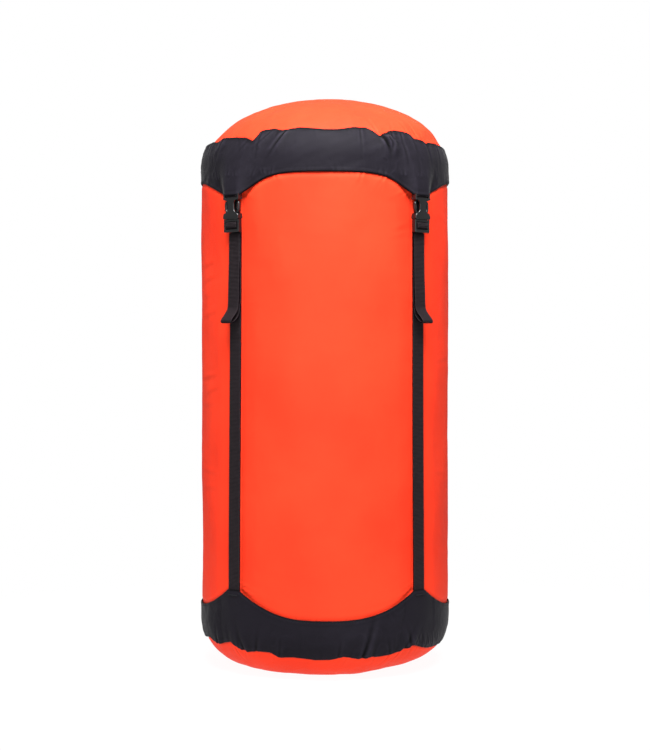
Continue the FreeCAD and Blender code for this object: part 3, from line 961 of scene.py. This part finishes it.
def mouth():
    """The fabric drawn together over what is packed, its neck, and the hem at its edge."""
    columns = 480
    phi = np.linspace(0, 2 * math.pi, columns, endpoint=False)
    shoulder_r = BODY_R - 1.6 * MM
    rows = []
    for turn in np.linspace(0.02, 1, 60):
        angle = turn * math.pi / 2
        r = shoulder_r * math.cos(angle)
        if r < NECK_R + 2 * MM:
            break
        z = COLLAR_FOOT + COLLAR_RISE * math.sin(angle)
        near = 1 - (r - NECK_R) / (shoulder_r - NECK_R)
        wave = pleats(phi, 34, 91) * 2.6 * MM * smooth(near * 1.3) + pleats(phi, 61, 92) * 0.5 * MM * near
        rows.append((np.full(columns, r), z + wave * 0.9))
    for up in np.linspace(0.15, 1, 9):
        r = NECK_R - 0.6 * MM + pleats(phi, 34, 91) * 1.1 * MM * (1 - 0.3 * up)
        rows.append((r, COLLAR_FOOT + COLLAR_RISE + (HEM_Z - COLLAR_FOOT - COLLAR_RISE) * up))
    points = np.concatenate([round_axis(r, phi, z) for r, z in rows])
    faces, places = grid_faces(columns, len(rows))
    uvs = [[(c * 1.6 * MM, r * 2.0 * MM) for c, r in place] for place in places]
    collar = mesh_piece("gathered_mouth", points, faces, uvs)
    finish_panel(collar, ("mouth_collar",), "crown", ORANGE)

    sides = 14
    turn = np.arange(sides) * 2 * math.pi / sides
    fat = (3.1 * MM + pleats(phi, 40, 93) * 0.35 * MM)[None, :]
    r = HEM_R + fat * np.cos(turn)[:, None]
    z = HEM_Z + fat * np.sin(turn)[:, None]
    points = round_axis(r, phi, z).reshape(-1, 3)
    faces, places = grid_faces(columns, sides, ring=True)
    uvs = [[(c * 0.24 * MM, r * 1.5 * MM) for c, r in place] for place in places]
    ring = mesh_piece("mouth_hem_fabric", points, faces, uvs)
    stand_in(ring, ("mouth_hem",), "crown", CHARCOAL)
    paint(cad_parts["mouth_eyelet"], PLASTIC)


# ---- webbing

def smooth_path(points, step=1.2 * MM):
    """Points close together on a smooth line near the given (radius, height) points, by cutting corners."""
    line = np.array(points, float)
    for _ in range(3):
        before = 0.75 * line[:-1] + 0.25 * line[1:]
        after = 0.25 * line[:-1] + 0.75 * line[1:]
        middle = np.stack([before, after], axis=1).reshape(-1, 2)
        line = np.vstack([line[:1], middle, line[-1:]])
    total = lengths_along(line)[-1]
    return along_line(line, np.linspace(0, total, max(int(total / step), 4)))


def tape_section(width, thickness):
    """(across, out) points round a flat tape with rounded edges and a slightly raised selvedge."""
    half_w, half_t = width / 2, thickness / 2
    flat = [-0.82, -0.5, 0.0, 0.5, 0.82]
    front = [(-half_w + 0.15 * MM, half_t * 0.75), (-half_w + 0.7 * MM, half_t * 1.05)]
    front += [(half_w * f, half_t * 0.92) for f in flat]
    front += [(half_w - 0.7 * MM, half_t * 1.05), (half_w - 0.15 * MM, half_t * 0.75)]
    edge = [(half_w, 0.0)]
    back = [(x, -y) for x, y in reversed(front)]
    return np.array(front + edge + back + [(-half_w, 0.0)])


def tape(name, path, width=WEB_W, thickness=WEB_T, sway=0.0, lean=0.0, seed=0):
    """Webbing swept along (radius, height) points on the +X side. It sways from side to side, and lean
    moves its first point sideways."""
    line = smooth_path(path)
    rng = np.random.default_rng(seed)
    tangent = np.gradient(line, axis=0)
    tangent /= np.linalg.norm(tangent, axis=1)[:, None]
    out = np.column_stack([-tangent[:, 1], tangent[:, 0]])
    lengths = lengths_along(line)
    section = tape_section(width, thickness)
    progress = lengths / lengths[-1]
    aside = sway * np.sin(progress * math.pi * 1.5 + rng.uniform(0, 6)) + lean * (1 - progress)
    points = [(r + side[0] * lift, across + move, z + side[1] * lift)
              for (r, z), side, move in zip(line, out, aside) for across, lift in section]
    count = len(section)
    faces, places = grid_faces(count, len(line))
    last_ring = (len(line) - 1) * count
    ends = np.append(section[:, 0], section[0, 0]) + width / 2
    faces = [tuple(reversed(face)) for face in faces]
    uvs = [[(ends[c], lengths[r]) for c, r in reversed(place)] for place in places]
    faces += [tuple(range(count)), tuple(last_ring + k for k in reversed(range(count)))]
    uvs.append([(ends[k], 0.0) for k in range(count)])
    uvs.append([(ends[k], lengths[-1]) for k in reversed(range(count))])
    return mesh_piece(name, points, faces, uvs)


def turn_to(obj, corner):
    """Turns a piece built on the +X side to a strap's bearing, in its mesh."""
    obj.data.transform(Matrix.Rotation(BEARINGS[corner], 4, "Z"))
    return obj


def tape_piece(name, corner, path, node, slot, body, **shape):
    """A length of webbing at a strap's bearing."""
    piece = turn_to(tape(name + "_" + corner, path, **shape), corner)
    stand_in(piece, (node + "_" + corner,), body, WEBBING)
    return piece


def main_strap(corner):
    """The run from under the base yoke's point up to the back of the ladder lock."""
    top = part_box("strap_" + corner)[1].z
    path = [(STRAP_R - 0.3 * MM, BASE_YOKE_TIP - 8 * MM), (STRAP_R, BASE_YOKE_TIP + 6 * MM),
            (STRAP_R - 0.15 * MM, (BASE_YOKE_TIP + top) / 2), (STRAP_R, top)]
    strap = tape_piece("strap_run", corner, path, "strap", "webbing", "sack", sway=0.25 * MM,
                       lean=STRAP_LEAN[corner], seed=CORNERS.index(corner))
    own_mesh(strap)


def strap_wrap(corner):
    """Up behind the middle bar, over it, in through the lower slot and out behind the end bar."""
    bar = LOCK_Z + 5.4 * MM
    front = BUCKLE_MID_R + 2.0 * MM
    path = [
        (STRAP_R, bar - 0.4 * MM), (TAIL_R, bar + 1.4 * MM), (TAIL_R, bar + 4.4 * MM),
        (front, bar + 4.4 * MM), (front + 0.2 * MM, bar + 1.0 * MM), (front, bar - 1.6 * MM),
        (TAIL_R, bar - 1.6 * MM), (TAIL_R, LOCK_Z),
    ]
    tape_piece("strap_over_bar", corner, path, "strap_wrap", "webbing", "adjuster_" + corner)


def strap_tail(corner):
    """The free end: it hangs, kicks outwards, and is folded back into a small sewn loop."""
    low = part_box("strap_tail_" + corner)[0].z + 0.6 * MM
    top = LOCK_Z - 0.4 * MM
    path = [
        (0.1, 50), (0.8, 21), (0.95, 15), (2.1, 10), (9.9, 2.0), (11.0, -0.4), (9.6, -1.6), (5.8, 0.6),
        (1.8, 4.4), (-0.25, 9.5), (-0.4, 16.5),
    ]
    path = [(TAIL_R, top)] + [(TAIL_R + r * MM, low + z * MM) for r, z in path]
    tail = tape_piece("strap_tail_web", corner, path, "strap_tail", "webbing", None, sway=0.35 * MM,
                      seed=20 + CORNERS.index(corner))
    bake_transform(tail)
    line = np.array([(TAIL_R + 1.5 * MM, side * (WEB_W / 2 - 1.2 * MM), low + 16 * MM) for side in (-1, 1)])
    row = turn_to(stitches("tab_stitches_" + corner, [line], length=1.7 * MM, gap=0.6 * MM), corner)
    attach(row, "tail_" + corner)


def anchor_loop(corner):
    """The short loop of tape that holds a socket by its bar, under a point of the lid yoke."""
    bar_low = SOCKET_TOP - 2.2 * MM
    back = BUCKLE_MID_R - 2.3 * MM
    front = BUCKLE_MID_R + 2.2 * MM
    path = [
        (BODY_R + 0.9 * MM, SOCKET_TOP + 12 * MM), (back, SOCKET_TOP + 1 * MM), (back, bar_low - 0.9 * MM),
        (front, bar_low - 0.9 * MM), (front, SOCKET_TOP + 0.6 * MM),
        (BODY_R + 1.9 * MM, SOCKET_TOP + 12 * MM),
    ]
    tape_piece("anchor_tape", corner, path, "anchor_loop", "charcoal_fabric", "lid", thickness=0.7 * MM)


# ---- buckles

def mirrored(half):
    """A closed outline from its right half, which runs from the bottom to the top."""
    return half + [(-y, z) for y, z in reversed(half)]


def oblong(y0, y1, z0, z1):
    return [(y0, z0), (y1, z0), (y1, z1), (y0, z1)]


def add_plate(bm, outline, back, front, bevel, foot_z):
    """Adds a plate with an outline of (across, height above foot_z). back and front are measured from the
    buckle's middle. All but foot_z are in millimetres."""
    bottom = [bm.verts.new((BUCKLE_MID_R + back * MM, y * MM, foot_z + z * MM)) for y, z in outline]
    face = bm.faces.new(bottom)
    made = bmesh.ops.extrude_face_region(bm, geom=[face])["geom"]
    top = [v for v in made if isinstance(v, bmesh.types.BMVert)]
    for vert in top:
        vert.co.x = BUCKLE_MID_R + front * MM
    plate_verts = set(bottom + top)
    edges = [e for e in bm.edges if e.verts[0] in plate_verts and e.verts[1] in plate_verts]
    flat = [e for e in edges if abs(e.verts[0].co.x - e.verts[1].co.x) < 1e-9]
    bmesh.ops.bevel(bm, geom=flat, offset=bevel * MM, segments=3, affect="EDGES", profile=0.6,
                    clamp_overlap=True)


def buckle_piece(name, corner, node, body, plates, foot_z):
    """One moulded piece. Each plate is (outline, back, front, bevel)."""
    bm = bmesh.new()
    for plate in plates:
        add_plate(bm, *plate, foot_z)
    bmesh.ops.recalc_face_normals(bm, faces=bm.faces)
    mesh = bpy.data.meshes.new(name)
    bm.to_mesh(mesh)
    bm.free()
    obj = smooth_link(mesh, name + "_" + corner)
    mesh.set_sharp_from_angle(angle=SHARP_ANGLE)
    turn_to(obj, corner)
    stand_in(obj, (node + "_" + corner,), body, PLASTIC)


SOCKET_OUTLINE = [
    (9.0, 0.0), (10.3, 0.9), (10.3, 2.6), (9.8, 4.0), (9.3, 5.0), (8.6, 5.6), (7.0, 6.2), (5.5, 7.2),
    (4.6, 8.8), (4.3, 10.6), (4.3, 14.6), (4.7, 16.4), (5.7, 17.6), (7.2, 18.2), (9.4, 18.4), (10.3, 18.9),
    (10.3, 20.3),
]


def buckle_socket(corner):
    """The lid's half: two plates with deep finger notches, joined by side walls, and a bar at the top."""
    plates = [(mirrored(SOCKET_OUTLINE), 1.6, 3.3, 0.75), (mirrored(SOCKET_OUTLINE), -2.9, -1.5, 0.3)]
    for y0, y1 in ((-10.1, -8.4), (8.4, 10.1)):
        plates.append((oblong(y0, y1, 0.4, 5.2), -1.7, 1.8, 0.1))
        plates.append((oblong(y0, y1, 18.4, 24.1), -2.6, 3.0, 0.4))
    plates.append((oblong(-8.4, 8.4, 17.6, 20.8), -1.7, 1.7, 0.1))
    plates.append((oblong(-8.8, 8.8, 21.9, 24.1), -1.7, 1.7, 0.6))
    buckle_piece("socket", corner, "buckle_socket", "lid", plates, SOCKET_Z)


def buckle_plug(corner):
    """The strap's half: a ladder lock with three bars, the root of the prongs and a guide tongue."""
    shoulder = (SOCKET_Z - LOCK_Z) / MM - 0.1
    rails = [(oblong(y0, y1, 0.6, 11.6), -2.1, 2.2, 0.5) for y0, y1 in ((-10.1, -7.9), (7.9, 10.1))]
    end_bar = (oblong(-9.7, 9.7, 0.0, 3.0), -0.9, 2.4, 0.8)
    middle_bar = (oblong(-8.2, 8.2, 5.4, 8.4), -1.2, 1.2, 0.7)
    shoulder_bar = (oblong(-9.9, 9.9, 10.0, shoulder), -2.0, 2.4, 0.3)
    prong_root = (oblong(-7.6, 7.6, 11.8, 16.0), -1.3, 1.3, 0.3)
    tongue = (oblong(-2.3, 2.3, 15.6, 27.0), -1.2, 1.2, 0.6)
    plates = rails + [end_bar, middle_bar, shoulder_bar, prong_root, tongue]
    buckle_piece("ladder_lock", corner, "buckle_plug", "adjuster_" + corner, plates, LOCK_Z)


PRONG_OUTLINE = [
    (4.5, 0.0), (7.3, 0.0), (7.6, 1.6), (8.7, 2.8), (9.4, 4.4), (9.7, 7.0), (9.7, 10.0), (9.3, 12.0),
    (8.2, 13.2), (7.2, 13.3), (7.0, 12.2), (7.6, 9.4), (7.4, 6.0), (6.6, 4.0), (5.1, 2.6),
]


def buckle_prong(corner, letter, side):
    outline = [(side * y, z) for y, z in PRONG_OUTLINE]
    body = "latch_" + letter + "_" + corner
    plates = [(outline, -1.4, 1.4, 0.9)]
    buckle_piece("prong_" + letter, corner, "prong_" + letter, body, plates, SOCKET_Z + PRONG_UP)


# ---- the stage

def stage_piece(name, material):
    """Names and paints the piece just made."""
    piece = bpy.context.object
    piece.name = name
    return paint(piece, material)


def stage():
    """A white room: a glowing backdrop, and a floor that glows under the sack and fades out round it."""
    world = bpy.data.worlds.new("studio")
    bpy.context.scene.world = world
    world.use_nodes = True
    set_inputs(world.node_tree.nodes["Background"], Color=WHITE, Strength=0.36)
    bpy.context.scene.view_settings.view_transform = "Standard"

    bpy.ops.mesh.primitive_uv_sphere_add(segments=48, ring_count=24, radius=12)
    white = Nodes("white_backdrop")
    glow = white.add("ShaderNodeEmission")
    set_inputs(glow, Color=WHITE)
    white.output(glow.outputs[0])
    backdrop = stage_piece("backdrop", white.material)
    for ray in ("diffuse", "glossy", "transmission", "shadow"):
        setattr(backdrop, "visible_" + ray, False)

    bpy.ops.mesh.primitive_plane_add(size=4)
    pale = Nodes("pale_floor")
    set_inputs(pale.shader, Base_Color=(0.07, 0.07, 0.07, 1), Roughness=0.9, Specular_IOR_Level=0.0,
               Emission_Color=WHITE, Emission_Strength=0.945)
    place = pale.add("ShaderNodeTexCoord")
    reach = pale.add("ShaderNodeVectorMath", operation="LENGTH")
    pale.join(place.outputs["Object"], reach.inputs[0])
    fade = pale.between(reach.outputs["Value"], 0.0, 1.0, given=(0.20, 0.60))
    clear = pale.add("ShaderNodeBsdfTransparent")
    mix = pale.add("ShaderNodeMixShader")
    for socket, source in zip(mix.inputs, (fade, pale.shader.outputs[0], clear.outputs[0])):
        pale.join(source, socket)
    pale.output(mix.outputs[0])
    stage_piece("floor", pale.material)


def lamp(name, place, aim, size, watts, glossy=False):
    data = bpy.data.lights.new(name, "AREA")
    data.shape = "RECTANGLE"
    data.size, data.size_y = size
    data.energy = watts
    obj = link(data, name)
    obj.location = place
    obj.rotation_euler = (Vector(aim) - Vector(place)).to_track_quat("-Z", "Y").to_euler()
    obj.visible_glossy = glossy


def studio():
    middle = (0, 0, 0.3)
    lamp("key", (-0.30, -2.5, 0.9), middle, (1.1, 1.6), 14, glossy=True)
    lamp("top", (0.05, -0.5, 1.05), (0, 0, 0.5), (0.7, 0.5), 23, glossy=True)
    lamp("low", (0, -1.3, 0.12), (0, 0, 0.02), (1.0, 0.2), 4.6)
    lamp("back", (0.2, 2.5, 0.9), middle, (1.2, 1.6), 20)
    lamp("left_edge", (-2.0, 0.3, 0.6), middle, (0.5, 1.6), 9)
    lamp("right_edge", (2.0, 0.7, 0.6), middle, (0.5, 1.6), 4)


def camera():
    distance = 1.65
    eye_z = 0.314
    tilt_down = math.radians(1.007)
    data = bpy.data.cameras.new("camera")
    data.sensor_width = 36.0
    data.lens = 79.2
    cam = link(data, "camera")
    cam.location = (0, -distance, eye_z)
    cam.rotation_euler = (math.pi / 2 - tilt_down, 0, 0)
    bpy.context.scene.camera = cam


camera()
stage()
studio()
body_tube()
lid_dome()
base_panel()
lid_yoke()
base_yoke()
mouth()
for corner in CORNERS:
    main_strap(corner)
    strap_wrap(corner)
    strap_tail(corner)
    anchor_loop(corner)
    buckle_socket(corner)
    buckle_plug(corner)
    buckle_prong(corner, "a", 1)
    buckle_prong(corner, "b", -1)
